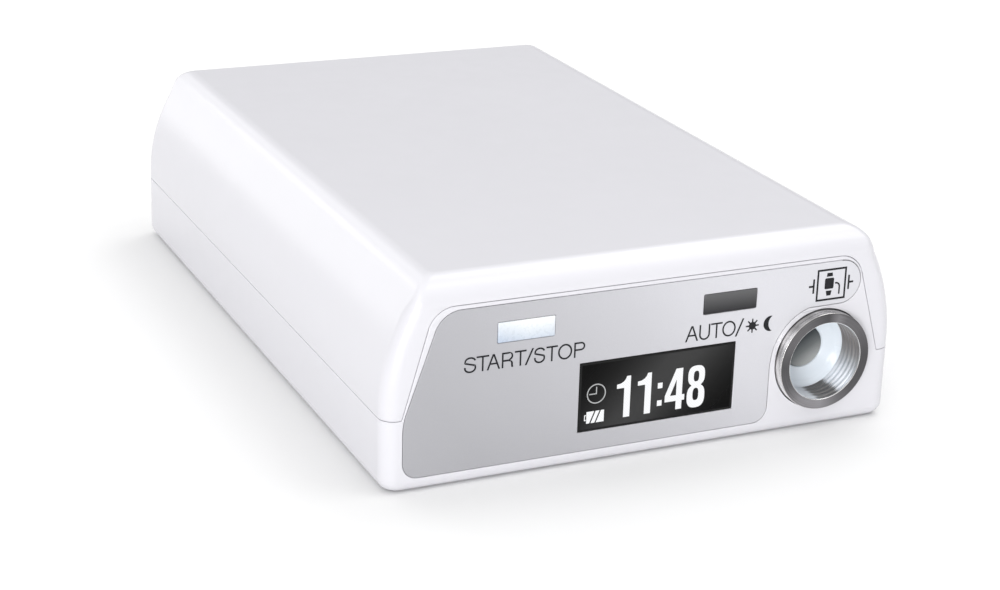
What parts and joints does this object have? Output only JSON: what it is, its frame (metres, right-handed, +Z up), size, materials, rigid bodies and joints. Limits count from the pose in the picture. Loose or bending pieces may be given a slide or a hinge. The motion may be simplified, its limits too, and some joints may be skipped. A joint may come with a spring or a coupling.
{
  "type": "ambulatory blood pressure monitor",
  "caption": "Pocket-size box with a display, push buttons and a threaded air socket on its front, which inflates an arm cuff and records blood pressure over a day.",
  "frame": {"origin": "middle of the bounding box, on the surface the case rests on", "axes": "+X to the right as the display is read, +Y from the front panel to the rear, +Z up"},
  "size_m": [0.066, 0.095, 0.0245],
  "materials": {
    "case_gloss": "gloss, pearl white",
    "label_foil": "satin silver grey foil",
    "window_black": "polished black window",
    "display_glass": "display glass",
    "foam_black": "closed-cell foam",
    "button_white": "translucent white, softly polished",
    "button_dark": "dark grey, satin",
    "switch_plunger": "moulded",
    "switch_body": "moulded with metal cover",
    "led_resin": "clear resin",
    "board_green": "solder mask",
    "chip_black": "moulded",
    "holder_ivory": "moulded",
    "cell_steel": "nickel plated",
    "socket_steel": "turned and brushed",
    "rubber_black": "moulded",
    "seat_white": "smooth pale plastic",
    "filter_grey": "sintered",
    "manifold_plastic": "moulded",
    "motor_steel": "drawn can",
    "shaft_brass": "turned",
    "pump_plastic": "moulded",
    "silicone": "translucent silicone",
    "valve_steel": "drawn can",
    "spring_steel": "drawn wire",
    "sensor_ivory": "moulded",
    "tray_grey": "moulded",
    "cell_sleeve": "plain printed sleeve",
    "contact_nickel": "nickel plated strip",
    "port_steel": "plated shell",
    "screw_black": "black zinc"
  },
  "bodies": {
    "case": {"top_case": "case_gloss", "bottom_case": "case_gloss", "front_label": "label_foil", "display_window": "window_black", "display_panel": "display_glass", "display_pad": "foam_black", "start_switch": "switch_body", "auto_switch": "switch_body", "status_leds": "led_resin", "front_board": "board_green", "main_board": "board_green", "board_chips": "chip_black", "cell_holder": "holder_ivory", "backup_cell": "cell_steel", "air_socket": "socket_steel", "socket_gasket": "rubber_black", "socket_seat": "seat_white", "socket_filter": "filter_grey", "socket_seal": "rubber_black", "air_manifold": "manifold_plastic", "pump_motor": "motor_steel", "pump_head": "pump_plastic", "pump_diaphragm": "rubber_black", "pump_cap": "pump_plastic", "pump_cradle": "rubber_black", "air_tube": "silicone", "exhaust_valve": "valve_steel", "valve_spring": "spring_steel", "leak_valve": "valve_steel", "pressure_sensors": "sensor_ivory", "buzzer": "chip_black", "battery_tray": "tray_grey", "battery_cells": "cell_sleeve", "battery_springs": "spring_steel", "battery_contacts": "contact_nickel", "data_port": "port_steel", "port_board": "board_green", "case_screws": "screw_black"},
    "start_button": {"start_stop_button": "button_white", "start_plunger": "switch_plunger"},
    "auto_key": {"auto_button": "button_dark", "auto_plunger": "switch_plunger"},
    "rotor": {"pump_rotor": "shaft_brass"},
    "plunger": {"valve_plunger": "valve_steel"},
    "door": {"battery_door": "case_gloss"},
    "cover": {"port_cover": "case_gloss"}
  },
  "joints": [
    {"name": "start_stop_press", "type": "slide", "parent": "case", "child": "start_button", "axis": [0, 0.9998, -0.0218], "range_m": [0, 0.0005], "stiffness_N_per_m": 600, "springref_m": -0.0005},
    {"name": "auto_press", "type": "slide", "parent": "case", "child": "auto_key", "axis": [0, 0.9998, -0.0218], "range_m": [0, 0.0005], "stiffness_N_per_m": 600, "springref_m": -0.0005},
    {"name": "pump_spin", "type": "hinge", "parent": "case", "child": "rotor", "pos_m": [-0.015, 0.0015, 0.0096], "axis": [1, 0, 0], "continuous": true},
    {"name": "valve_close", "type": "slide", "parent": "case", "child": "plunger", "axis": [1, 0, 0], "range_m": [0, 0.001], "stiffness_N_per_m": 150, "springref_m": -0.001, "deforming": ["valve_spring"]},
    {"name": "battery_door_slide", "type": "slide", "parent": "case", "child": "door", "axis": [0, 1, 0], "range_m": [0, 0.033]},
    {"name": "port_cover_hinge", "type": "hinge", "parent": "case", "child": "cover", "pos_m": [0.03245, -0.012, 0.00295], "axis": [0, 1, 0], "range_deg": [0, 100]}
  ]
}
